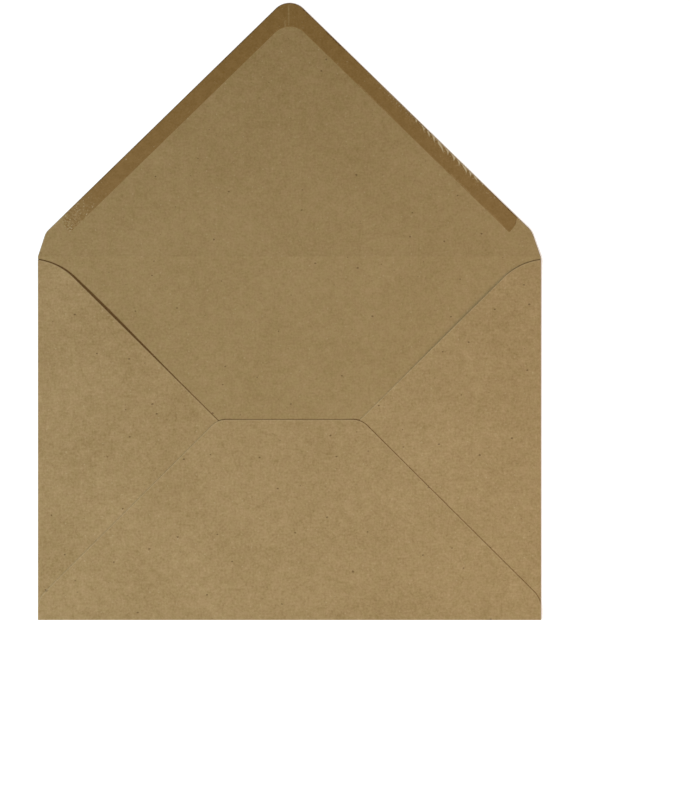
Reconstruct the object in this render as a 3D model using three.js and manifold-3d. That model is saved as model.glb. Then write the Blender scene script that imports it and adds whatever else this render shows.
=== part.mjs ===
// Kraft paper envelope with a pointed seal flap, lying open on its address side.
// One sheet of paper is folded in at both sides, folded up from below and glued along two slanted seams.
// Millimetres: +X runs across the envelope, +Y towards the tip of the seal flap, +Z up from the table.
import * as THREE from 'three';
import { mergeVertices } from 'three/addons/utils/BufferGeometryUtils.js';
import Module from 'manifold-3d';

const wasm = await Module();
wasm.setup();

// Pocket
const pocketWidth = 184;
const pocketHeight = 133;
const paper = 0.15;
const foldInside = 0.1;
const cornerNotch = 1.1;

// Seal flap, measured up from its crease
const sealDepth = 92.7;
const sealTipRadius = 7.3;
const sealShoulderInset = 2.85;
const sealShoulderRise = 8.75;
const sealShoulderRadius = 4.8;
const creaseWidth = 0.6;
const creaseDepth = 0.04;

// Side flaps, measured in from their folds
const sideReach = 70.4;
const sideTipRadius = 6;
const sideShoulderInset = 8.1;
const sideShoulderDrop = 2.35;
const sideShoulderRadius = 23;

// Bottom flap, measured up from its fold
const bottomDepth = 73.4;
const bottomTopWidth = 52.5;
const bottomTopRadius = 7.5;
const bottomShoulderInset = 0.25;
const bottomShoulderRise = 7.95;
const bottomShoulderRadius = 8.8;

// Spring of the folded paper: the most that a side flap stands off the address panel
const springRise = 0.8;
const springPower = 1.5;

// Seam: how far the glued flap is pressed into the one below
const seamPress = 0.02;

// Dried seal gum
const gumWidth = 6.15;
const gumThickness = 0.03;
const gumLength = 116.4;
const gumInnerRadius = 7.6;
const gumEndSlant = 1.6;
const gumEndRadius = 1.8;

// Most of a straight side that one rounded corner may take up
const cornerShare = 0.95;

// Mesh steps
const panelStep = 6;
const foldSegments = 6;
const arcSegments = 5;

// Sizes that follow from those above
const halfWidth = pocketWidth / 2;
const sideFold = foldInside + paper;
const bottomFoldInside = foldInside + (paper - seamPress) / 2;
const bottomFold = bottomFoldInside + paper;
const foldOverlap = 1;
const cutMargin = 1;

// Closed outline through corners [x, y, radius], each rounded by an arc that touches both its sides
function roundedShape(corners) {
  const shape = new THREE.Shape();
  corners.forEach(([x, y, radius = 0], index) => {
    const corner = new THREE.Vector2(x, y);
    const before = new THREE.Vector2(...corners.at(index - 1)).sub(corner);
    const after = new THREE.Vector2(...corners[(index + 1) % corners.length]).sub(corner);
    const room = cornerShare * Math.min(before.length(), after.length());
    before.normalize();
    after.normalize();
    const halfAngle = Math.acos(before.dot(after)) / 2;
    const tangent = Math.min(radius / Math.tan(halfAngle), room);
    const start = corner.clone().addScaledVector(before, tangent);
    const end = corner.clone().addScaledVector(after, tangent);
    if (index === 0) shape.moveTo(start.x, start.y);
    else shape.lineTo(start.x, start.y);
    if (radius === 0) return;
    const inward = before.clone().add(after).normalize();
    const centre = corner.clone().addScaledVector(inward, tangent / Math.cos(halfAngle));
    const startAngle = start.clone().sub(centre).angle();
    const endAngle = end.clone().sub(centre).angle();
    const fitted = tangent * Math.tan(halfAngle);
    shape.absarc(centre.x, centre.y, fitted, startAngle, endAngle, before.cross(after) > 0);
  });
  shape.closePath();
  return shape;
}

// Height along the middle line at which a straight edge from a shoulder reaches it,
// when that edge runs past a tip rounded to the given radius
function sharpTip(shoulderAway, shoulderHeight, tipHeight, tipRadius) {
  const toCentre = new THREE.Vector2(shoulderAway, tipHeight - tipRadius - shoulderHeight);
  const slope = toCentre.angle() + Math.asin(tipRadius / toCentre.length());
  return shoulderHeight + shoulderAway * Math.tan(slope);
}

function extruded(shape, depth) {
  return new THREE.ExtrudeGeometry(shape, { depth, bevelEnabled: false, curveSegments: arcSegments });
}

function solid(geometry) {
  const bare = geometry.clone();
  bare.deleteAttribute('normal');
  bare.deleteAttribute('uv');
  const welded = mergeVertices(bare, 1e-5);
  const vertProperties = new Float32Array(welded.attributes.position.array);
  const triVerts = new Uint32Array(welded.index.array);
  return new wasm.Manifold(new wasm.Mesh({ numProp: 3, vertProperties, triVerts }));
}

function bodyGeometry(manifold) {
  const mesh = manifold.getMesh();
  const geometry = new THREE.BufferGeometry();
  geometry.setAttribute('position', new THREE.BufferAttribute(mesh.vertProperties, 3));
  geometry.setIndex(new THREE.BufferAttribute(mesh.triVerts, 1));
  return geometry;
}

// Gap between the address panel and the flap over it: it opens from the side folds,
// is widest a third of the way in, and closes again towards the middle and the bottom
function springGap(x, y) {
  const reach = halfWidth - bottomTopWidth / 2;
  const across = THREE.MathUtils.clamp((halfWidth - Math.abs(x)) / reach, 0, 1);
  const up = THREE.MathUtils.clamp(1 + y / pocketHeight, 0, 1) ** springPower;
  return 2 * foldInside + springRise * 6.75 * across * (1 - across) ** 2 * up;
}

// Sheet that leaves the address panel, turns over at a fold and lies back above it.
// reach is how far it goes back, along is the length of the fold, and place puts a point
// (distance out past the fold's middle, distance along the fold, height) in the envelope.
function turnedFlap({ inside, reach, along, lift, place }) {
  const backSteps = Math.ceil(reach / panelStep);
  const alongSteps = Math.ceil(along / panelStep);
  const pathSteps = 1 + foldSegments + backSteps;
  const geometry = new THREE.BoxGeometry(1, 1, 1, pathSteps, alongSteps, 1);
  const position = geometry.attributes.position;
  for (let index = 0; index < position.count; index += 1) {
    const step = Math.round((position.getX(index) + 0.5) * pathSteps);
    const distance = (along * Math.round((position.getY(index) + 0.5) * alongSteps)) / alongSteps;
    const outward = Math.round(position.getZ(index) + 0.5);
    let out = -foldOverlap;
    let height = paper * (1 - outward);
    if (step >= 1 && step <= 1 + foldSegments) {
      const turn = ((step - 1) / foldSegments) * Math.PI;
      const radius = inside + outward * paper;
      out = radius * Math.sin(turn);
      height = paper + inside - radius * Math.cos(turn);
    }
    if (step > 1 + foldSegments) {
      out = (-reach * (step - 1 - foldSegments)) / backSteps;
      height = paper * (1 + outward);
    }
    const point = place(out, distance, height);
    if (step > 1 + foldSegments) point.z += lift(point.x, point.y);
    position.setXYZ(index, point.x, point.y, point.z);
  }
  return geometry;
}

// Address panel with the seal flap, in one flat piece
function addressPanel() {
  const sealSharpTip = sharpTip(halfWidth - sealShoulderInset, sealShoulderRise, sealDepth, sealTipRadius);
  const side = halfWidth - sideFold;
  const bottom = bottomFold - pocketHeight;
  const shape = roundedShape([
    [-side, bottom],
    [side, bottom],
    [side, -cornerNotch],
    [halfWidth, -cornerNotch],
    [halfWidth, 0],
    [halfWidth - sealShoulderInset, sealShoulderRise, sealShoulderRadius],
    [0, sealSharpTip, sealTipRadius],
    [sealShoulderInset - halfWidth, sealShoulderRise, sealShoulderRadius],
    [-halfWidth, 0],
    [-halfWidth, -cornerNotch],
    [-side, -cornerNotch],
  ]);
  return solid(extruded(shape, paper)).subtract(creaseGroove());
}

// Pressed crease of the seal flap: a shallow valley on the inner face
function creaseGroove() {
  const valley = new THREE.Shape();
  valley.moveTo(-creaseWidth, creaseDepth);
  valley.lineTo(0, -creaseDepth);
  valley.lineTo(creaseWidth, creaseDepth);
  valley.closePath();
  const groove = extruded(valley, pocketWidth + 2 * cutMargin);
  groove.rotateX(Math.PI / 2);
  groove.rotateZ(Math.PI / 2);
  groove.translate(-halfWidth - cutMargin, 0, paper);
  return solid(groove);
}

// Side flap on the side where x has the given sign
function sideFlap(sign) {
  const tip = sharpTip(pocketHeight / 2 - sideShoulderDrop, sideShoulderInset, sideReach, sideTipRadius);
  const outline = roundedShape([
    [-cutMargin, -cornerNotch],
    [0, -cornerNotch],
    [sideShoulderInset, -sideShoulderDrop, sideShoulderRadius],
    [tip, -pocketHeight / 2, sideTipRadius],
    [sideShoulderInset, sideShoulderDrop - pocketHeight, sideShoulderRadius],
    [0, cornerNotch - pocketHeight],
    [-cutMargin, cornerNotch - pocketHeight],
  ]);
  const cutter = extruded(outline, pocketHeight);
  if (sign > 0) cutter.rotateY(Math.PI);
  cutter.translate(sign * halfWidth, 0, sign > 0 ? pocketHeight / 2 : -pocketHeight / 2);
  const flap = turnedFlap({
    inside: foldInside,
    reach: sideReach + cutMargin,
    along: pocketHeight,
    lift: (x, y) => springGap(x, y),
    place: (out, distance, height) => new THREE.Vector3(
      sign * (halfWidth - sideFold + out),
      sign < 0 ? distance - pocketHeight : -distance,
      height,
    ),
  });
  return solid(flap).intersect(solid(cutter));
}

// Bottom flap, glued over both side flaps
function bottomFlap() {
  const foot = halfWidth - bottomShoulderInset;
  const outline = roundedShape([
    [-foot, -cutMargin],
    [foot, -cutMargin],
    [foot, bottomShoulderRise, bottomShoulderRadius],
    [bottomTopWidth / 2, bottomDepth, bottomTopRadius],
    [-bottomTopWidth / 2, bottomDepth, bottomTopRadius],
    [-foot, bottomShoulderRise, bottomShoulderRadius],
  ]);
  const cutter = extruded(outline, pocketHeight);
  cutter.translate(0, -pocketHeight, -pocketHeight / 2);
  const flap = turnedFlap({
    inside: bottomFoldInside,
    reach: bottomDepth + cutMargin,
    along: pocketWidth,
    lift: (x, y) => springGap(x, y) + paper - seamPress,
    place: (out, distance, height) => new THREE.Vector3(
      halfWidth - distance,
      bottomFold - pocketHeight - out,
      height,
    ),
  });
  return solid(flap).intersect(solid(cutter));
}

// Band of dried gum along both slanted edges of the seal flap, on its inner face
function sealGum() {
  const away = halfWidth - sealShoulderInset;
  const outerTip = sharpTip(away, sealShoulderRise, sealDepth, sealTipRadius);
  const edge = new THREE.Vector2(away, sealShoulderRise - outerTip).normalize();
  const inward = new THREE.Vector2(edge.y, -edge.x);
  const innerTip = outerTip - gumWidth / edge.x;
  const outerEnd = edge.clone().multiplyScalar(gumLength).add(new THREE.Vector2(0, outerTip));
  const innerEnd = outerEnd.clone().addScaledVector(inward, gumWidth).addScaledVector(edge, gumEndSlant);
  const shape = roundedShape([
    [outerEnd.x, outerEnd.y],
    [0, outerTip, sealTipRadius],
    [-outerEnd.x, outerEnd.y],
    [-innerEnd.x, innerEnd.y, gumEndRadius],
    [0, innerTip, gumInnerRadius],
    [innerEnd.x, innerEnd.y, gumEndRadius],
  ]);
  const film = extruded(shape, gumThickness);
  film.translate(0, 0, paper);
  return film;
}

const kraft = new THREE.MeshStandardMaterial({ color: 0x9a8259, roughness: 0.85, metalness: 0 });
const gum = new THREE.MeshStandardMaterial({ color: 0x7b5f38, roughness: 0.55, metalness: 0 });

const sheet = addressPanel().add(sideFlap(-1)).add(sideFlap(1)).add(bottomFlap());

const sheetMesh = new THREE.Mesh(bodyGeometry(sheet), kraft);
sheetMesh.name = 'folded_sheet';

const gumMesh = new THREE.Mesh(sealGum(), gum);
gumMesh.name = 'seal_gum';

const envelope = new THREE.Group();
envelope.add(sheetMesh, gumMesh);
envelope.position.y = (pocketHeight - sealDepth) / 2;

export default envelope;
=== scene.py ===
import math
import bpy
import numpy as np
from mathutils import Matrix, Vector
from mathutils.geometry import delaunay_2d_cdt


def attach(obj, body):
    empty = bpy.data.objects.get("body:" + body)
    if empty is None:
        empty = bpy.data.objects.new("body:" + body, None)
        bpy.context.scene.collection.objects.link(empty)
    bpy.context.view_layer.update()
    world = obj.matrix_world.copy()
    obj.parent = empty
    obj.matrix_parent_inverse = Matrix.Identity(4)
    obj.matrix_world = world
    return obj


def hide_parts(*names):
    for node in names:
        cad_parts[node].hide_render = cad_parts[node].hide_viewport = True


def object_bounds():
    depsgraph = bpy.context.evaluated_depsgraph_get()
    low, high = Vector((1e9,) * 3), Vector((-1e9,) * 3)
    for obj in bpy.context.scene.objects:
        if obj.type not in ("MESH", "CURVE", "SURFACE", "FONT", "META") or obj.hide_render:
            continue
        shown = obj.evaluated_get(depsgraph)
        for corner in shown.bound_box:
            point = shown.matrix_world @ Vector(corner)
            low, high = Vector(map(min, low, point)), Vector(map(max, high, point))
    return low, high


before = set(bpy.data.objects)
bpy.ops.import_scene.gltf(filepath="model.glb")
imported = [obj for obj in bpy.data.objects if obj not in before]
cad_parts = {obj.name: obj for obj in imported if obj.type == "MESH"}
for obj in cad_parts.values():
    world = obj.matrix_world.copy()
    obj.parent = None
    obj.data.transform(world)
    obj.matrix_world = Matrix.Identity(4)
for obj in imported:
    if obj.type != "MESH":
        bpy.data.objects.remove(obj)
cad_low, cad_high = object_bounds()

# Sizes are in millimetres, with the seal flap's crease along y = 0
MM = 0.001
PAPER = 0.15
FOLD_INSIDE = 0.1
SEAM_GAP = 0.01
CORNER_NOTCH = 1.1
NOTCH_SLIT = 0.12

SEAL_DEPTH = 92.7
SEAL_TIP_RADIUS = 7.3
SEAL_SHOULDER = (2.85, 8.75)
SEAL_SHOULDER_RADIUS = 4.8

POCKET_WIDTH = (cad_high.x - cad_low.x) / MM
HALF_WIDTH = POCKET_WIDTH / 2
POCKET_HEIGHT = (cad_high.y - cad_low.y) / MM - SEAL_DEPTH
CREASE_Y = cad_high.y / MM - SEAL_DEPTH

SIDE_REACH = 70.4
SIDE_TIP_RADIUS = 6
SIDE_SHOULDER = (8.1, 2.35)
SIDE_SHOULDER_RADIUS = 23

BOTTOM_DEPTH = 73.4
BOTTOM_TOP_WIDTH = 52.5
BOTTOM_TOP_RADIUS = 7.5
BOTTOM_SHOULDER_RISE = 7.95
BOTTOM_SHOULDER_RADIUS = 8.8

# Uneven cutting of the right half (1) and the left half (-1): longer side flap, deeper shoulder and crease
CUT_SHIFTS = {1: 0.22, -1: -0.42}
SHOULDER_CUTS = {1: 0.55, -1: 0}
SHOULDER_CUT_ROUNDING = 4
CREASE_CUTS = {1: 0.15, -1: 0}

# Gum band. The knee in each end is a place along and across the band, and a radius
GUM_WIDTH = 6.15
GUM_THICKNESS = 0.03
GUM_LENGTH = 116.1
GUM_INNER_RADIUS = 7.6
GUM_END_SLANT = 2.1
GUM_END_KNEE = (1.7, 2.4)
GUM_KNEE_RADIUS = 2.2
GUM_END_RADIUS = 0.5

# Spring of the folded paper: the flaps stand off most at a share of the way in, and settle further on
SPRING_RISE = 0.8
SPRING_PEAK = 0.4
SPRING_POWER = 1.5
REST_GAP = 0.02
SETTLE_REACH = 7
DRAPE_REACH = 6

# The sheet's slow rise towards the crease, and the fine ridge of the crease itself
TENT_RISE = 0.3
TENT_REACH = 18
CREASE_RIDGE = 0.035
CREASE_WIDTH = 0.45

# Mesh steps
GRID_STEP = 2.0
GUM_GRID_STEP = 1.0
EDGE_STEP = 1.5
ARC_STEP = 0.5
LEAST_ARC_STEPS = 3
FOLD_STEPS = 8
EDGE_ROWS = (0.3, 0.8)
GUM_EDGE_ROWS = (0.3,)
CREASE_ROWS = (-2, -1, -0.5, 0, 0.5, 1, 2)
MERGE_DISTANCE = 1e-5
SAME_PLACE = 1e-4

# Folds of the flat sheet: where each one starts, its middle radius and the paper that it takes up
SIDE_LINE = HALF_WIDTH - FOLD_INSIDE - PAPER
SIDE_MIDDLE = FOLD_INSIDE + PAPER / 2
SIDE_TURN = math.pi * SIDE_MIDDLE
BOTTOM_INSIDE = FOLD_INSIDE + (PAPER + SEAM_GAP) / 2
BOTTOM_LINE = POCKET_HEIGHT - BOTTOM_INSIDE - PAPER
BOTTOM_MIDDLE = BOTTOM_INSIDE + PAPER / 2
BOTTOM_TURN = math.pi * BOTTOM_MIDDLE

# Colours of the paper: two shades of its body, its pale fibres and its dark flecks
FLECK = (0.07, 0.032, 0.006)
INNER = {"body": (0.300, 0.212, 0.087), "shade": (0.305, 0.208, 0.090), "pale": (0.46, 0.36, 0.20)}
OUTER = {"body": (0.321, 0.225, 0.097), "shade": (0.328, 0.224, 0.101), "pale": (0.50, 0.39, 0.22)}
CUT = {"body": (0.33, 0.24, 0.12), "shade": (0.34, 0.24, 0.12), "pale": (0.5, 0.4, 0.24)}

# Layers of grain: scale, detail, roughness, stretch, turn, shift and how much each changes the tone
NO_STRETCH = (1, 1, 1)
NO_SHIFT = (0, 0, 0)
GRAIN_LAYERS = (
    (0.045, 3, 0.5, NO_STRETCH, 0, NO_SHIFT, 0.20),
    (0.3, 3, 0.6, NO_STRETCH, 0, NO_SHIFT, 0.30),
    (1.15, 2, 0.6, NO_STRETCH, 0, NO_SHIFT, 0.42),
    (1.0, 2, 0.6, (0.55, 1.5, 1), 0.12, NO_SHIFT, 0.17),
    (1.0, 2, 0.6, (1.5, 0.5, 1), -0.3, (7, 3, 0), 0.17),
)

# Marks in the paper: colour, strength, then spacing, share of places filled and size together,
# and stretch, turn and shift
PAPER_MARKS = (
    ("pale", 0.30, (3.4, 0.45, 0.34), NO_STRETCH, 0, (9.3, 2.2, 0)),
    ("dark", 0.16, (3.8, 0.5, 0.34), NO_STRETCH, 0, (3.1, 7.7, 0)),
    ("pale", 0.26, (3.4, 0.3, 0.16), (0.22, 1, 1), 0.5, NO_SHIFT),
    ("dark", 0.22, (4.4, 0.3, 0.16), (0.25, 1, 1), 2.2, (5, 5, 0)),
    ("dark", 0.62, (9.5, 0.7, 0.34), (0.7, 1, 1), 0.3, (1, 6, 0)),
)
MARK_WOBBLE = 0.6
OUTER_CONTRAST = 1.35

# Painted light and shade in the paper's tone: painted shade darker towards the seal flap's tip, painted light
# lighter to the right and darker to the left, and painted shade beside the bottom fold
SHADE_TOWARDS_TIP = 0.09
LIGHT_TOWARDS_RIGHT = 0.015
SHADE_BESIDE_FOLD = 0.06
SHADE_BESIDE_FOLD_REACH = 5

# Paler beside the cut edges: partly frayed fibres, partly a painted highlight where the cut edge catches
# light
FRAYED_AND_LIT_EDGE_REACH = (0.15, 0.7)
FRAYED_AND_LIT_EDGE_STRENGTH = 0.22

# How a change of tone acts: by a share of the colour, and by an even part that greys it
TONE_SHARE = 0.72
TONE_EVEN = 0.085

PAPER_ROUGHNESS = 0.88
PAPER_SHEEN = 0.28
PAPER_RELIEF = 0.35
RELIEF_HEIGHT = 0.02

# Dried gum: its colours, its grain and the painted light that makes it lighter from the tip to the ends
GUM = (0.207, 0.121, 0.034)
GUM_DARK = (0.186, 0.106, 0.027)
PALE_PAPER = (0.50, 0.41, 0.25)
GUM_GRAIN = 0.4
GUM_PAINTED_LIGHT = 0.09
GUM_PAINTED_LIGHT_START = -0.02
GUM_ROUGHNESS = 0.66
GUM_SHEEN = 0.2
GUM_RELIEF = 0.3

# Painted shade: a dark line along the left band's outer edge
EDGE_SHADE_REACH = (0.1, 0.4)
EDGE_SHADE_STRENGTH = 0.45

# Left end of the gum: how far along the band it is thin, curled and spotted, and how strongly
THIN_REACH = 17
THIN_STRENGTH = 0.72
CURL_REACH = 20
CURL_STRENGTH = 0.85
SPOT_REACH = 26
SPOT_STRENGTH = 0.55

# Skipped strokes in the gum: their lean, their spacing and how far they reach in from the edge
STROKE_SLANT = 1.6
STROKE_SPACING = 3.1
STROKE_REACH = 2.1
STROKE_WANDER = 1.5
STROKE_WIDTH = 0.34
STROKE_STRENGTH = 0.85

# Where the strokes, the bare edge and the pale dust begin and end, along the right band from the tip
STROKES_BEGIN = (54, 74)
STROKES_END = (89, 103)
BARE_EDGE_BEGIN = (36, 60)
BARE_EDGE_STRENGTH = 0.65
DUST_BEGIN = (36, 52)
DUST_END = (98, 112)
DUST_STRENGTH = 0.75

# Pale streaks at the tip: place across, half width, lowest and highest end, strength
TIP_STREAKS = ((-0.3, 0.4, 84.6, 92.0, 0.75), (-1.6, 0.6, 83.6, 86.4, 0.5))
STREAK_SOFTNESS = 0.4

# Picture in pixels: the pocket's width, the frame's middle and height, and the middle of the crease
PICTURE_POCKET_WIDTH = 503
PICTURE_MIDDLE = (345.5, 400)
PICTURE_HEIGHT = 800
CREASE_MIDDLE = (289.5, 256.5)
SCALE = POCKET_WIDTH / PICTURE_POCKET_WIDTH

# Camera: its height above the envelope and its sensor's width, and how near it sees, in metres
CAMERA_DISTANCE = 1200
SENSOR_WIDTH = 36
CLIP_START = 0.05

# Floor, which reaches this many metres to each side and lies a hair below the envelope, and sky
FLOOR_REACH = 6
FLOOR_DROP = 0.02
FLOOR_COLOUR = (0.82, 0.82, 0.82, 1)
FLOOR_GLOW = 0.42
SKY_LEVEL = 0.15
SKY_COLOUR = (1.35, 0.95, 0.62, 1)
WHITE = (1, 1, 1, 1)

# Lamps: place and size in metres, the light level that each gives, and its colour
LAMPS = {
    "key": ((-0.62, -0.68, 0.80), 0.17, 0.735, (0.766, 0.890, 1.0)),
    "soft": ((0.26, -0.12, 0.30), 0.36, 0.252, (1.0, 0.808, 0.65)),
}


# Form of the folded sheet

def held(value):
    """The value, kept between 0 and 1."""
    return min(max(value, 0), 1)


def smooth(value):
    """Smooth rise from 0 to 1 while the value goes from 0 to 1."""
    value = held(value)
    return value * value * (3 - 2 * value)


def spring(x, y):
    """How far the back of the pocket stands off the address panel."""
    across = held((HALF_WIDTH - abs(x)) / (HALF_WIDTH - BOTTOM_TOP_WIDTH / 2))
    up = held(1 + y / POCKET_HEIGHT) ** SPRING_POWER
    peak = SPRING_PEAK ** 2 * (1 - SPRING_PEAK) ** 3
    return SPRING_RISE * across ** 2 * (1 - across) ** 3 / peak * up


def side_gap(x, y):
    """Gap between the address panel and a side flap."""
    off_side = 1 - math.exp(-(HALF_WIDTH - abs(x)) / SETTLE_REACH)
    off_bottom = 1 - math.exp(-(POCKET_HEIGHT + y) / SETTLE_REACH)
    near_fold = 1 - off_side * off_bottom
    return REST_GAP + (2 * FOLD_INSIDE - REST_GAP) * near_fold + spring(x, y)


def bottom_gap(x, y):
    """Gap between the address panel and the bottom flap, which drapes from the side flaps onto the panel."""
    past_tip = SIDE_TIP_AWAY + SIDE_EDGE_RUN * abs(y + POCKET_HEIGHT / 2) - abs(x)
    cover = 1 - smooth(past_tip / math.hypot(1, SIDE_EDGE_RUN) / DRAPE_REACH)
    near_fold = math.exp(-(POCKET_HEIGHT + y) / SETTLE_REACH)
    bare = REST_GAP + (2 * BOTTOM_INSIDE - REST_GAP) * near_fold + spring(x, y)
    return bare + (side_gap(x, y) + PAPER + SEAM_GAP - bare) * cover


def crease_lift(y):
    """The whole sheet rises a little towards the seal flap's crease, which is a fine ridge."""
    tent = TENT_RISE * math.exp(-abs(y) / TENT_REACH)
    return tent + CREASE_RIDGE * math.exp(-((y / CREASE_WIDTH) ** 2))


def turn_over(distance, line, middle):
    """Where the sheet is in a fold: (distance from the middle, height, outward part, upward part)."""
    angle = min(distance / middle, math.pi)
    back = max(distance - math.pi * middle, 0)
    out = line + middle * math.sin(angle) - back
    height = PAPER / 2 + middle * (1 - math.cos(angle))
    return out, height, math.sin(angle), -math.cos(angle)


def fold(u, v):
    """A point of the flat sheet in the folded envelope: its place and the way its outer face looks."""
    past_side = abs(u) - SIDE_LINE
    past_bottom = -v - BOTTOM_LINE
    if past_bottom > 0:
        out, height, outward, upward = turn_over(past_bottom, BOTTOM_LINE, BOTTOM_MIDDLE)
        x, y = u, -out
        normal = Vector((0, -outward, upward))
        if past_bottom > BOTTOM_TURN:
            height = 1.5 * PAPER + bottom_gap(x, y)
    elif past_side > 0 and CORNER_NOTCH - POCKET_HEIGHT < v < -CORNER_NOTCH:
        sign = math.copysign(1, u)
        out, height, outward, upward = turn_over(past_side, SIDE_LINE, SIDE_MIDDLE)
        x, y = sign * out, v
        normal = Vector((sign * outward, 0, upward))
        if past_side > SIDE_TURN:
            height = 1.5 * PAPER + side_gap(x, y)
    else:
        x, y, height = u, v, PAPER / 2
        normal = Vector((0, 0, -1))
    return Vector((x, y, height + crease_lift(y))), normal


def sharp_tip(shoulder_away, shoulder_height, tip_height, tip_radius):
    """Height at which a straight edge from a shoulder past a rounded tip reaches the middle line."""
    rise = tip_height - tip_radius - shoulder_height
    slope = math.atan2(rise, shoulder_away) + math.asin(tip_radius / math.hypot(rise, shoulder_away))
    return shoulder_height + shoulder_away * math.tan(slope)


SIDE_HALF_SPAN = POCKET_HEIGHT / 2 - SIDE_SHOULDER[1]
SIDE_TIP = sharp_tip(SIDE_HALF_SPAN, SIDE_SHOULDER[0], SIDE_REACH, SIDE_TIP_RADIUS)
SIDE_TIP_AWAY = HALF_WIDTH - SIDE_TIP
SIDE_EDGE_RUN = (SIDE_TIP - SIDE_SHOULDER[0]) / SIDE_HALF_SPAN
SEAL_SHOULDER_AWAY = HALF_WIDTH - SEAL_SHOULDER[0]
SEAL_TIP = sharp_tip(SEAL_SHOULDER_AWAY, SEAL_SHOULDER[1], SEAL_DEPTH, SEAL_TIP_RADIUS)


# Outlines

def rounded_corner(before, corner, after, radius):
    """Points of an arc that rounds a corner between its two neighbours."""
    to_before = (before - corner).normalized()
    to_after = (after - corner).normalized()
    half = math.acos(max(-1, min(1, to_before.dot(to_after)))) / 2
    start = corner + to_before * radius / math.tan(half)
    centre = corner + (to_before + to_after).normalized() * radius / math.sin(half)
    turn = math.pi - 2 * half
    sense = -math.copysign(1, to_before.cross(to_after))
    steps = max(LEAST_ARC_STEPS, math.ceil(turn * radius / ARC_STEP))
    arm = start - centre
    arc = []
    for step in range(steps + 1):
        angle = sense * turn * step / steps
        arc.append(centre + Vector((
            arm.x * math.cos(angle) - arm.y * math.sin(angle),
            arm.x * math.sin(angle) + arm.y * math.cos(angle),
        )))
    return arc


def rounded_outline(corners):
    """Closed outline through corners (x, y, radius), with arcs in place of the rounded corners."""
    count = len(corners)
    places = [Vector((x, y)) for x, y, _ in corners]
    arcs = []
    for index, (_, _, radius) in enumerate(corners):
        place = places[index]
        following = places[(index + 1) % count]
        arcs.append(rounded_corner(places[index - 1], place, following, radius) if radius else [place])
    outline = []
    for index, arc in enumerate(arcs):
        outline.extend(arc)
        end = arc[-1]
        following = arcs[(index + 1) % count][0]
        steps = max(1, math.ceil((following - end).length / EDGE_STEP))
        outline.extend(end.lerp(following, step / steps) for step in range(1, steps))
    return outline


def split_at_lines(outline, axis, lines):
    """The outline with a point of its own wherever it crosses one of the lines."""
    result = []
    for index, start in enumerate(outline):
        end = outline[(index + 1) % len(outline)]
        result.append(start)
        span = end[axis] - start[axis]
        shares = sorted((line - start[axis]) / span for line in lines) if span else []
        result.extend(start.lerp(end, share) for share in shares if SAME_PLACE < share < 1 - SAME_PLACE)
    return result


def flat_side(inset):
    """Place across the flat sheet of what lies this far in from the side when folded."""
    return SIDE_LINE + SIDE_TURN + inset - (HALF_WIDTH - SIDE_LINE)


def flat_bottom(height):
    """Place along the flat sheet of what lies this high above the bottom when folded."""
    return -(BOTTOM_LINE + BOTTOM_TURN + height - (POCKET_HEIGHT - BOTTOM_LINE))


def half_outline(sign):
    """Corners of one half of the flat sheet, from the seal flap's shoulder to the bottom flap's top."""
    shift = CUT_SHIFTS[sign]
    cut = SHOULDER_CUTS[sign]
    seal_radius = SEAL_SHOULDER_RADIUS + SHOULDER_CUT_ROUNDING * cut
    side_shoulder = flat_side(SIDE_SHOULDER[0]) + shift
    corners = [
        (SEAL_SHOULDER_AWAY - cut, SEAL_SHOULDER[1] + cut, seal_radius),
        (HALF_WIDTH - CREASE_CUTS[sign], 0, 0),
        (HALF_WIDTH, NOTCH_SLIT - CORNER_NOTCH, 0),
        (SIDE_LINE, -CORNER_NOTCH, 0),
        (side_shoulder, -SIDE_SHOULDER[1], SIDE_SHOULDER_RADIUS),
        (flat_side(SIDE_TIP) + shift, -POCKET_HEIGHT / 2, SIDE_TIP_RADIUS),
        (side_shoulder, SIDE_SHOULDER[1] - POCKET_HEIGHT, SIDE_SHOULDER_RADIUS),
        (SIDE_LINE, CORNER_NOTCH - POCKET_HEIGHT, 0),
        (HALF_WIDTH, CORNER_NOTCH - NOTCH_SLIT - POCKET_HEIGHT, 0),
        (HALF_WIDTH, flat_bottom(BOTTOM_SHOULDER_RISE), BOTTOM_SHOULDER_RADIUS),
        (BOTTOM_TOP_WIDTH / 2, flat_bottom(BOTTOM_DEPTH), BOTTOM_TOP_RADIUS),
    ]
    return [(sign * x, y, radius) for x, y, radius in corners]


def sheet_outline():
    """Outline of the flat sheet before it is folded."""
    tip = [(0, SEAL_TIP, SEAL_TIP_RADIUS)]
    return rounded_outline(tip + half_outline(1) + half_outline(-1)[::-1])


# Meshes

def distances(points, outline):
    """Distance of each point to the outline, and whether it lies inside."""
    points = np.array(points)
    start = np.array([tuple(p) for p in outline])
    end = np.roll(start, -1, axis=0)
    nearest = np.full(len(points), np.inf)
    inside = np.zeros(len(points), dtype=bool)
    for a, b in zip(start, end):
        along = np.clip((points - a) @ (b - a) / np.dot(b - a, b - a), 0, 1)
        foot = a + along[:, None] * (b - a)
        nearest = np.minimum(nearest, np.hypot(*(points - foot).T))
        if a[1] != b[1]:
            crosses = (a[1] > points[:, 1]) != (b[1] > points[:, 1])
            at = a[0] + (points[:, 1] - a[1]) * (b[0] - a[0]) / (b[1] - a[1])
            inside ^= crosses & (points[:, 0] < at)
    return nearest, inside


def grid_places(values, step, lines):
    """Even steps over the values' range, with the given lines in place of the steps beside them."""
    steps = np.arange(min(values), max(values), step)
    clear = [p for p in steps if all(abs(p - line) > step / 3 for line in lines)]
    return clear + list(lines)


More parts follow.
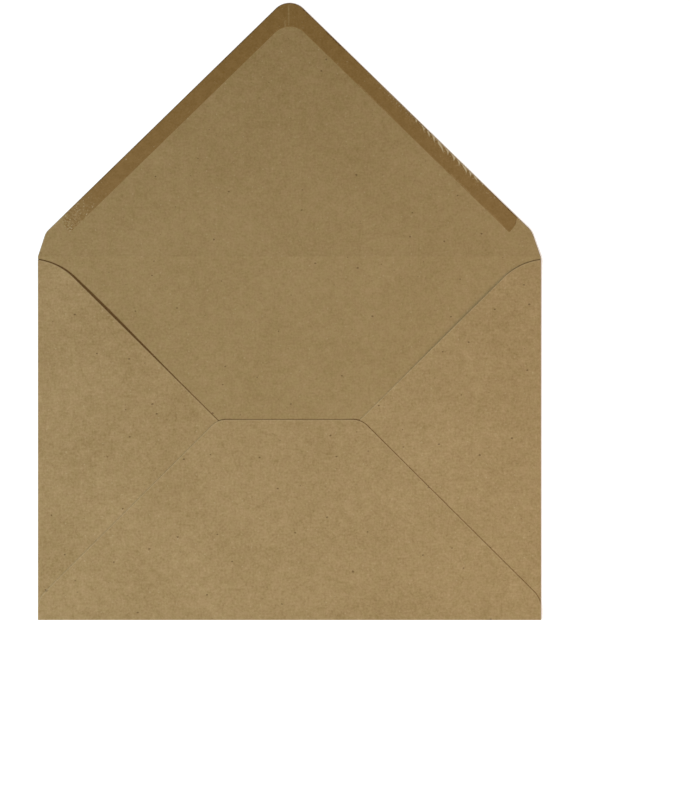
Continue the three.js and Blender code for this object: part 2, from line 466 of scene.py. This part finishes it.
def fill_outline(outline, lines_x=(), lines_y=(), rows=EDGE_ROWS, step=GRID_STEP):
    """Triangles inside an outline, on a grid with extra rows along the edge and at the given lines."""
    count = len(outline)
    columns = grid_places([p.x for p in outline], step, lines_x)
    levels = grid_places([p.y for p in outline], step, lines_y)
    grid = [(x, y) for x in columns for y in levels]
    nearest, inside = distances(grid, outline)
    keep = inside & (nearest > rows[-1] + step / 4)
    points = [p for p, kept in zip(grid, keep) if kept]

    strips = []
    for index, here in enumerate(outline):
        along = (outline[(index + 1) % count] - outline[index - 1]).normalized()
        inward = Vector((along.y, -along.x))
        strips.extend(tuple(here + inward * row) for row in rows)
    _, inside = distances(strips, outline)
    points += [p for p, kept in zip(strips, inside) if kept]

    places = [Vector(p) for p in outline] + [Vector(p) for p in points]
    edges = [(index, (index + 1) % count) for index in range(count)]
    only_inside = 1
    made = delaunay_2d_cdt(places, edges, [], only_inside, MERGE_DISTANCE)
    return [tuple(p) for p in made[0]], [tuple(f) for f in made[2]]


def slab(name, flat, triangles, place, thickness):
    """Closed sheet over a flat triangulation. place gives a point's middle and outward direction."""
    count = len(flat)
    inner_side, outer_side = [], []
    for u, v in flat:
        middle, outer = place(u, v)
        middle.y += CREASE_Y
        outer_side.append((middle + outer * thickness / 2) * MM)
        inner_side.append((middle - outer * thickness / 2) * MM)
    faces = list(triangles) + [tuple(count + i for i in reversed(f)) for f in triangles]
    edges = dict.fromkeys(edge for a, b, c in triangles for edge in ((a, b), (b, c), (c, a)))
    rim = [(a, b) for a, b in edges if (b, a) not in edges]
    faces += [(b, a, count + a, count + b) for a, b in rim]
    mesh = bpy.data.meshes.new(name)
    mesh.from_pydata(inner_side + outer_side, [], faces)
    piece = bpy.data.objects.new(name, mesh)
    bpy.context.scene.collection.objects.link(piece)
    sides = np.repeat([0, 1, 2], [len(triangles), len(triangles), len(rim)])
    mesh.polygons.foreach_set("material_index", sides)
    mesh.polygons.foreach_set("use_smooth", sides < 2)
    mesh.update()
    return piece


def store(piece, name, values):
    """Puts a number or a place for each vertex of the flat sheet in the mesh, for its materials to read."""
    values = np.asarray(values, dtype=np.float32)
    kind, field = ("FLOAT_VECTOR", "vector") if values.ndim > 1 else ("FLOAT", "value")
    layer = piece.data.attributes.new(name, kind, "POINT")
    both_sides = np.concatenate([values, values])
    layer.data.foreach_set(field, both_sides.ravel())


def painted_light_and_shade(u, v):
    """Painted light and shade over the flat sheet: darker towards the seal flap's tip, lighter to the right,
    darker beside the bottom fold.
    """
    off_fold = abs(-v - BOTTOM_LINE - BOTTOM_TURN / 2)
    shade_at_fold = SHADE_BESIDE_FOLD * math.exp(-off_fold / SHADE_BESIDE_FOLD_REACH)
    return LIGHT_TOWARDS_RIGHT * u / HALF_WIDTH - SHADE_TOWARDS_TIP * smooth(v / SEAL_DEPTH) - shade_at_fold


# Materials

class Graph:
    """Short calls for building the nodes of a material or of the sky."""

    def __init__(self, owner):
        owner.use_nodes = True
        self.nodes = owner.node_tree.nodes
        self.links = owner.node_tree.links
        self.nodes.clear()

    def add(self, kind, **values):
        """A new node with some of its settings."""
        node = self.nodes.new("ShaderNode" + kind)
        for key, value in values.items():
            setattr(node, key, value)
        return node

    def feed(self, node, inputs):
        """Sets or links a node's inputs, by name or number."""
        for key, value in inputs.items():
            if isinstance(value, bpy.types.NodeSocket):
                self.links.new(value, node.inputs[key])
            else:
                node.inputs[key].default_value = value
        return node

    def math(self, operation, *values, clamp=False):
        """Result of one sum with numbers or sockets."""
        node = self.add("Math", operation=operation, use_clamp=clamp)
        return self.feed(node, dict(enumerate(values))).outputs[0]

    def times(self, first, *others):
        """Product of all the values."""
        for other in others:
            first = self.math("MULTIPLY", first, other)
        return first

    def most(self, first, *others):
        """Greatest of all the values."""
        for other in others:
            first = self.math("MAXIMUM", first, other)
        return first

    def attribute(self, name, output="Fac"):
        """A value that is stored in the mesh."""
        return self.add("Attribute", attribute_name=name).outputs[output]

    def mapped(self, vector, stretch=NO_STRETCH, turn=0, shift=NO_SHIFT):
        """The vector stretched, turned and shifted."""
        inputs = {"Vector": vector, "Scale": stretch, "Rotation": (0, 0, turn), "Location": shift}
        return self.feed(self.add("Mapping"), inputs).outputs[0]

    def noise(self, vector, scale, detail=2.0, roughness=0.5, distortion=0.0):
        """Soft clouds, with this many of them to a millimetre."""
        inputs = {"Vector": vector, "Scale": scale, "Detail": detail, "Roughness": roughness}
        return self.feed(self.add("TexNoise"), inputs | {"Distortion": distortion}).outputs[0]

    def ramp(self, value, low, high, low_to=0.0, high_to=1.0):
        """Smooth change from low_to to high_to while the value goes from low to high."""
        node = self.add("MapRange", interpolation_type="SMOOTHSTEP")
        return self.feed(node, dict(enumerate((value, low, high, low_to, high_to)))).outputs[0]

    def mix(self, factor, first, second):
        """Mix of two colours."""
        node = self.add("Mix", data_type="RGBA")
        return self.feed(node, {0: factor, 6: first, 7: second}).outputs[2]

    def multiply_add(self, vector, factor, added):
        """The vector or colour times a factor, with another one added."""
        node = self.add("VectorMath", operation="MULTIPLY_ADD")
        return self.feed(node, {0: vector, 1: factor, 2: added}).outputs[0]

    def tone(self, colour, change):
        """The colour made lighter and greyer, or darker and fuller."""
        factor = self.math("MULTIPLY_ADD", change, TONE_SHARE, 1.0)
        return self.multiply_add(colour, factor, self.math("MULTIPLY", change, TONE_EVEN))

    def specks(self, vector, spacing, share, size):
        """Mask of scattered specks: one in a share of the places, each with a size of its own."""
        node = self.add("TexVoronoi", feature="F1", voronoi_dimensions="2D")
        self.feed(node, {"Vector": vector, "Scale": 1 / spacing, "Randomness": 1.0})
        number = self.feed(self.add("SeparateColor"), {0: node.outputs["Color"]}).outputs[0]
        chance = self.ramp(number, 1 - share, 1.0)
        radius = self.math("MULTIPLY", self.math("POWER", chance, 0.6), size / spacing)
        soft_rim = size / spacing * 0.35
        depth = self.math("DIVIDE", self.math("SUBTRACT", radius, node.outputs["Distance"]), soft_rim)
        return self.math("MULTIPLY", depth, self.math("GREATER_THAN", chance, 0.02), clamp=True)

    def relief(self, height, strength):
        """Normal of a fine relief."""
        inputs = {"Strength": strength, "Distance": RELIEF_HEIGHT * MM, "Height": height}
        return self.feed(self.add("Bump"), inputs).outputs[0]

    def surface(self, colour, roughness, sheen, normal):
        """Ends the graph in a plain surface."""
        inputs = {"Base Color": colour, "Roughness": roughness, "Specular IOR Level": sheen, "Normal": normal}
        shader = self.feed(self.add("BsdfPrincipled"), inputs)
        self.feed(self.add("OutputMaterial"), {0: shader.outputs[0]})


def rgb(colour):
    """The colour with its opacity."""
    return (*colour, 1.0)


def paper_colour(graph, where, paper, contrast):
    """Kraft fibre colour: soft clouds, fibrous grain, sparse dark and pale flecks and a few fibres."""
    # Starts from the painted light and shade stored in the mesh as its tone
    level = graph.attribute("tone")
    for scale, detail, roughness, stretch, turn, shift, amount in GRAIN_LAYERS:
        layer = graph.noise(graph.mapped(where, stretch, turn, shift), scale, detail, roughness)
        part = graph.math("SUBTRACT", layer, 0.5)
        level = graph.math("MULTIPLY_ADD", part, amount * contrast, level)
    patches = graph.noise(graph.mapped(where, shift=(40, 11, 0)), 0.3, 3, 0.6)
    body = graph.mix(graph.ramp(patches, 0.35, 0.65), rgb(paper["body"]), rgb(paper["shade"]))
    colour = graph.tone(body, level)
    stir = graph.feed(graph.add("TexNoise"), {"Vector": where, "Scale": 1.6, "Detail": 2.0})
    place = graph.multiply_add(stir.outputs["Color"], (MARK_WOBBLE, MARK_WOBBLE, 0), where)
    marks = {"pale": paper["pale"], "dark": FLECK}
    for mark, strength, sizes, stretch, turn, shift in PAPER_MARKS:
        mask = graph.specks(graph.mapped(place, stretch, turn, shift), *sizes)
        colour = graph.mix(graph.math("MULTIPLY", mask, strength), colour, rgb(marks[mark]))
    return colour


def paper_material(name, paper, shift, contrast):
    """Uncoated kraft paper with a fine fibre relief, a little paler beside its cut edges: partly frayed
    fibres, partly a painted highlight.
    """
    material = bpy.data.materials.new(name)
    graph = Graph(material)
    where = graph.mapped(graph.attribute("sheet_place", "Vector"), shift=shift)
    colour = paper_colour(graph, where, paper, contrast)
    # Paler strip beside the cut edges: frayed fibres and a painted highlight
    frayed_and_lit = graph.ramp(graph.attribute("edge_distance"), *FRAYED_AND_LIT_EDGE_REACH, FRAYED_AND_LIT_EDGE_STRENGTH, 0.0)
    colour = graph.mix(frayed_and_lit, colour, rgb(paper["pale"]))
    fine = graph.noise(where, 2.6, 4, 0.6)
    coarse = graph.noise(where, 0.55, 3, 0.5)
    height = graph.math("MULTIPLY_ADD", coarse, 1.6, fine)
    graph.surface(colour, PAPER_ROUGHNESS, PAPER_SHEEN, graph.relief(height, PAPER_RELIEF))
    return material


def gum_body(graph, where, along, inward, middle):
    """Colour of sound gum, with painted light towards the band's ends and painted shade along the left band's
    outer edge.
    """
    patch = graph.noise(where, 0.35, 3, 0.6)
    body = graph.mix(graph.ramp(patch, 0.35, 0.65), rgb(GUM), rgb(GUM_DARK))
    grain = graph.math("MULTIPLY_ADD", graph.noise(where, 1.3, 3, 0.6), GUM_GRAIN, -GUM_GRAIN / 2)
    # Painted light: the gum is made lighter towards the band's ends
    to_end = graph.ramp(graph.math("ABSOLUTE", along), 10, GUM_LENGTH)
    painted_light = graph.math("MULTIPLY_ADD", to_end, GUM_PAINTED_LIGHT, GUM_PAINTED_LIGHT_START)
    body = graph.tone(body, graph.math("ADD", grain, painted_light))
    # Painted shade along the left band's outer edge
    rim = graph.times(
        graph.ramp(inward, *EDGE_SHADE_REACH, 1.0, 0.0),
        graph.ramp(middle, -2, 2, 1.0, 0.0),
        EDGE_SHADE_STRENGTH,
    )
    return graph.mix(rim, body, rgb(FLECK))


def gum_left_end(graph, where, along):
    """Masks of bare paper, dark curls and pale spots, where the band breaks up at its left end."""
    left_end = -GUM_LENGTH
    thin = graph.ramp(along, left_end - 1, left_end + THIN_REACH, THIN_STRENGTH, 0.0)
    clouds = graph.noise(graph.mapped(where, (1.0, 1.5, 1), 0.75), 0.75, 2, 0.5)
    bare = graph.math("MULTIPLY", thin, graph.ramp(clouds, 0.36, 0.6, 0.35, 1.3), clamp=True)
    bend = graph.noise(graph.mapped(where, (1.0, 1.5, 1), 2.0, (8, 3, 0)), 0.85, 1, 0.5, 1.2)
    off_ridge = graph.math("ABSOLUTE", graph.math("SUBTRACT", bend, 0.5))
    curls = graph.ramp(off_ridge, 0.02, 0.07, CURL_STRENGTH, 0.0)
    curls = graph.times(curls, graph.ramp(along, left_end, left_end + CURL_REACH, 1.0, 0.0))
    dots = graph.noise(graph.mapped(where, (1.0, 1.3, 1), 2.1, (8, 3, 0)), 1.4, 1, 0.5, 0.8)
    fewer = graph.ramp(along, left_end, left_end + SPOT_REACH, 0.05, -0.08)
    spots = graph.times(graph.ramp(graph.math("ADD", dots, fewer), 0.65, 0.75), SPOT_STRENGTH)
    return bare, curls, spots


def gum_strokes(graph, where, along, inward):
    """Masks of pale skipped strokes at the right edge, in a comb of slanted wedges, and of the gum piled
    between them."""
    slanted = graph.math("MULTIPLY_ADD", inward, -STROKE_SLANT, along)
    wander = graph.times(graph.noise(where, 0.2, 1, 0.5), STROKE_WANDER)
    phase = graph.math("ADD", graph.math("DIVIDE", slanted, STROKE_SPACING), wander)
    chance = graph.add("TexWhiteNoise", noise_dimensions="1D")
    graph.feed(chance, {"W": graph.math("FLOOR", phase)})
    present = graph.times(graph.ramp(along, *STROKES_BEGIN), graph.ramp(along, *STROKES_END, 1.0, 0.0))
    reach = graph.math("MULTIPLY_ADD", chance.outputs["Value"], 0.45 * STROKE_REACH, 0.6 * STROKE_REACH)
    reach = graph.math("ADD", graph.times(reach, present), 0.05)
    depth = graph.math("SUBTRACT", 1.0, graph.math("DIVIDE", inward, reach))
    off_middle = graph.math("ABSOLUTE", graph.math("SUBTRACT", graph.math("FRACT", phase), 0.5))
    wedge = graph.math("SUBTRACT", graph.times(depth, STROKE_WIDTH), off_middle)
    strokes = graph.times(graph.ramp(wedge, -0.06, 0.08), STROKE_STRENGTH)
    piled = graph.times(
        graph.ramp(wedge, -0.3, -0.1, 1.0, 0.0),
        graph.ramp(inward, 0.3, 1.3, 0.4, 0.0),
        present,
    )
    return strokes, piled


def gum_dust(graph, where, along, inward):
    """Mask of the right band's bare outermost edge and of the pale dust beside it."""
    bare_edge = graph.times(
        graph.ramp(inward, 0.15, 0.55, BARE_EDGE_STRENGTH, 0.0),
        graph.ramp(along, *BARE_EDGE_BEGIN),
        graph.ramp(along, *STROKES_END, 1.0, 0.0),
    )
    dust = graph.times(
        graph.ramp(graph.noise(where, 1.7, 2, 0.6), 0.56, 0.7),
        graph.ramp(along, *DUST_BEGIN),
        graph.ramp(along, *DUST_END, 1.0, 0.0),
        graph.ramp(inward, 0.3, 3.0, DUST_STRENGTH, 0.0),
    )
    return graph.most(bare_edge, dust)


def gum_tip_streaks(graph, where, middle):
    """Mask of the pale streaks down the middle of the tip."""
    height = graph.feed(graph.add("SeparateXYZ"), {0: where}).outputs["Y"]
    uneven = graph.ramp(graph.noise(where, 1.1, 2, 0.5), 0.3, 0.6, 0.25, 1.0)
    streaks = 0.0
    for x, width, low, high, strength in TIP_STREAKS:
        off = graph.math("ABSOLUTE", graph.math("SUBTRACT", middle, x))
        streak = graph.times(
            graph.ramp(off, width * STREAK_SOFTNESS, width, strength, 0.0),
            graph.ramp(height, low - STREAK_SOFTNESS, low + STREAK_SOFTNESS),
            graph.ramp(height, high - STREAK_SOFTNESS, high + STREAK_SOFTNESS, 1.0, 0.0),
            uneven,
        )
        streaks = graph.most(streaks, streak)
    return streaks


def gum_material():
    """Dried gum: smooth and darker, skipped in strokes along the right edge, patchy at the left end."""
    material = bpy.data.materials.new("dried_gum")
    graph = Graph(material)
    where = graph.attribute("sheet_place", "Vector")
    along = graph.attribute("gum_along")
    inward = graph.attribute("gum_inward")
    middle = graph.attribute("gum_middle")
    bare, curls, spots = gum_left_end(graph, where, along)
    strokes, piled = gum_strokes(graph, where, along, inward)
    dust = gum_dust(graph, where, along, inward)
    streaks = gum_tip_streaks(graph, where, middle)
    colour = graph.mix(piled, gum_body(graph, where, along, inward, middle), rgb(FLECK))
    colour = graph.mix(graph.most(bare, streaks), colour, paper_colour(graph, where, INNER, 1.0))
    colour = graph.mix(curls, colour, rgb(GUM_DARK))
    colour = graph.mix(graph.most(strokes, dust, spots), colour, rgb(PALE_PAPER))
    height = graph.noise(where, 1.2, 3, 0.6)
    graph.surface(colour, GUM_ROUGHNESS, GUM_SHEEN, graph.relief(height, GUM_RELIEF))
    return material


# Pieces

def fold_lines(line, turn):
    """Lines across the flat sheet that cut a fold into even steps."""
    return [line + turn * step / FOLD_STEPS for step in range(FOLD_STEPS + 1)]


def make_sheet():
    """The folded sheet of paper, in one closed mesh."""
    right = fold_lines(SIDE_LINE, SIDE_TURN)
    sides = right + [-x for x in right]
    bottoms = [-line for line in fold_lines(BOTTOM_LINE, BOTTOM_TURN)]
    crease = [CREASE_WIDTH * row for row in CREASE_ROWS]
    outline = split_at_lines(split_at_lines(sheet_outline(), 0, sides), 1, bottoms)
    flat, triangles = fill_outline(outline, sides, bottoms + crease)
    piece = slab("folded_paper", flat, triangles, fold, PAPER)
    nearest, _ = distances(flat, outline)
    store(piece, "edge_distance", nearest)
    store(piece, "sheet_place", [(u, v, 0) for u, v in flat])
    store(piece, "tone", [painted_light_and_shade(u, v) for u, v in flat])
    for material in (
        paper_material("kraft_inner", INNER, NO_SHIFT, 1.0),
        paper_material("kraft_outer", OUTER, (310, 170, 0), OUTER_CONTRAST),
        paper_material("kraft_cut_edge", CUT, (90, 400, 0), 1.0),
    ):
        piece.data.materials.append(material)
    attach(piece, "root")
    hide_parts("folded_sheet")


def gum_place(u, v):
    """Middle of the gum film on the sheet's inner face, and the way the sheet's outer face looks."""
    middle, outer = fold(u, v)
    return middle - outer * (PAPER + GUM_THICKNESS) / 2, outer


def make_gum():
    """The band of dried gum on the inner face of the seal flap."""
    edge = Vector((SEAL_SHOULDER_AWAY, SEAL_SHOULDER[1] - SEAL_TIP)).normalized()
    inward = Vector((edge.y, -edge.x))
    outer_end = Vector((0, SEAL_TIP)) + edge * GUM_LENGTH
    knee = outer_end + edge * GUM_END_KNEE[0] + inward * GUM_END_KNEE[1]
    inner_end = outer_end + edge * GUM_END_SLANT + inward * GUM_WIDTH
    right_end = [(*outer_end, 0), (*knee, GUM_KNEE_RADIUS), (*inner_end, GUM_END_RADIUS)]
    left_end = [(-x, y, radius) for x, y, radius in reversed(right_end)]
    inner_tip = (0, SEAL_TIP - GUM_WIDTH / edge.x, GUM_INNER_RADIUS)
    outline = rounded_outline([(0, SEAL_TIP, SEAL_TIP_RADIUS)] + right_end + [inner_tip] + left_end)
    flat, triangles = fill_outline(outline, rows=GUM_EDGE_ROWS, step=GUM_GRID_STEP)
    piece = slab("gum_band", flat, triangles, gum_place, GUM_THICKNESS)
    offsets = [Vector((abs(u), v - SEAL_TIP)) for u, v in flat]
    store(piece, "gum_along", [math.copysign(o.dot(edge), u) for o, (u, v) in zip(offsets, flat)])
    store(piece, "gum_inward", [o.dot(inward) for o in offsets])
    store(piece, "gum_middle", [u for u, v in flat])
    store(piece, "sheet_place", [(u, v, 0) for u, v in flat])
    store(piece, "tone", [painted_light_and_shade(u, v) for u, v in flat])
    material = gum_material()
    for _ in range(3):
        piece.data.materials.append(material)
    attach(piece, "root")
    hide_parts("seal_gum")


# Stage

def make_camera():
    """Camera straight above, with the envelope where it lies in the picture."""
    right = (PICTURE_MIDDLE[0] - CREASE_MIDDLE[0]) * SCALE
    up = (CREASE_MIDDLE[1] - PICTURE_MIDDLE[1]) * SCALE
    data = bpy.data.cameras.new("camera")
    data.sensor_width = SENSOR_WIDTH
    data.lens = data.sensor_width * CAMERA_DISTANCE / (PICTURE_HEIGHT * SCALE)
    data.clip_start = CLIP_START
    camera = bpy.data.objects.new("camera", data)
    camera.location = Vector((right, up + CREASE_Y, CAMERA_DISTANCE)) * MM
    bpy.context.scene.collection.objects.link(camera)
    bpy.context.scene.camera = camera


def make_lamp(name, place, size, level, colour):
    """Square lamp that faces the envelope and gives a white surface under it the level given."""
    data = bpy.data.lights.new(name, "AREA")
    data.size = size
    data.color = colour
    distance = Vector(place).length
    data.energy = level * math.pi ** 2 * distance ** 3 / place[2]
    lamp = bpy.data.objects.new(name, data)
    lamp.location = place
    lamp.rotation_euler = Vector(place).to_track_quat("Z", "Y").to_euler()
    bpy.context.scene.collection.objects.link(lamp)


def white_for_camera(graph, plain, white):
    """Uses the white shader where the camera, gloss or glass looks, and the plain one elsewhere."""
    path = graph.add("LightPath").outputs
    seen = graph.most(path["Is Camera Ray"], path["Is Glossy Ray"], path["Is Transmission Ray"])
    return graph.feed(graph.add("MixShader"), {0: seen, 1: plain, 2: white}).outputs[0]


def make_floor():
    """White floor that keeps the envelope's shadow."""
    mesh = bpy.data.meshes.new("floor")
    corners = [(x * FLOOR_REACH, y * FLOOR_REACH, 0) for x, y in ((-1, -1), (1, -1), (1, 1), (-1, 1))]
    mesh.from_pydata(corners, [], [(0, 1, 2, 3)])
    floor = bpy.data.objects.new("floor", mesh)
    floor.location.z = -FLOOR_DROP * MM
    bpy.context.scene.collection.objects.link(floor)
    material = bpy.data.materials.new("floor")
    graph = Graph(material)
    plain = graph.feed(graph.add("BsdfDiffuse"), {"Color": FLOOR_COLOUR}).outputs[0]
    glow = graph.feed(graph.add("Emission"), {"Strength": FLOOR_GLOW}).outputs[0]
    both = graph.feed(graph.add("AddShader"), {0: plain, 1: glow}).outputs[0]
    graph.feed(graph.add("OutputMaterial"), {0: white_for_camera(graph, plain, both)})
    mesh.materials.append(material)


def make_sky():
    """Even soft light from all around, white where it is looked at."""
    world = bpy.data.worlds.new("sky")
    graph = Graph(world)
    plain = graph.feed(graph.add("Background"), {"Color": SKY_COLOUR, "Strength": SKY_LEVEL}).outputs[0]
    white = graph.feed(graph.add("Background"), {"Color": WHITE}).outputs[0]
    graph.feed(graph.add("OutputWorld"), {0: white_for_camera(graph, plain, white)})
    bpy.context.scene.world = world


make_camera()
make_sheet()
make_gum()
make_floor()
make_sky()
for name, (place, size, level, colour) in LAMPS.items():
    make_lamp(name, place, size, level, colour)
bpy.context.scene.view_settings.view_transform = "Standard"
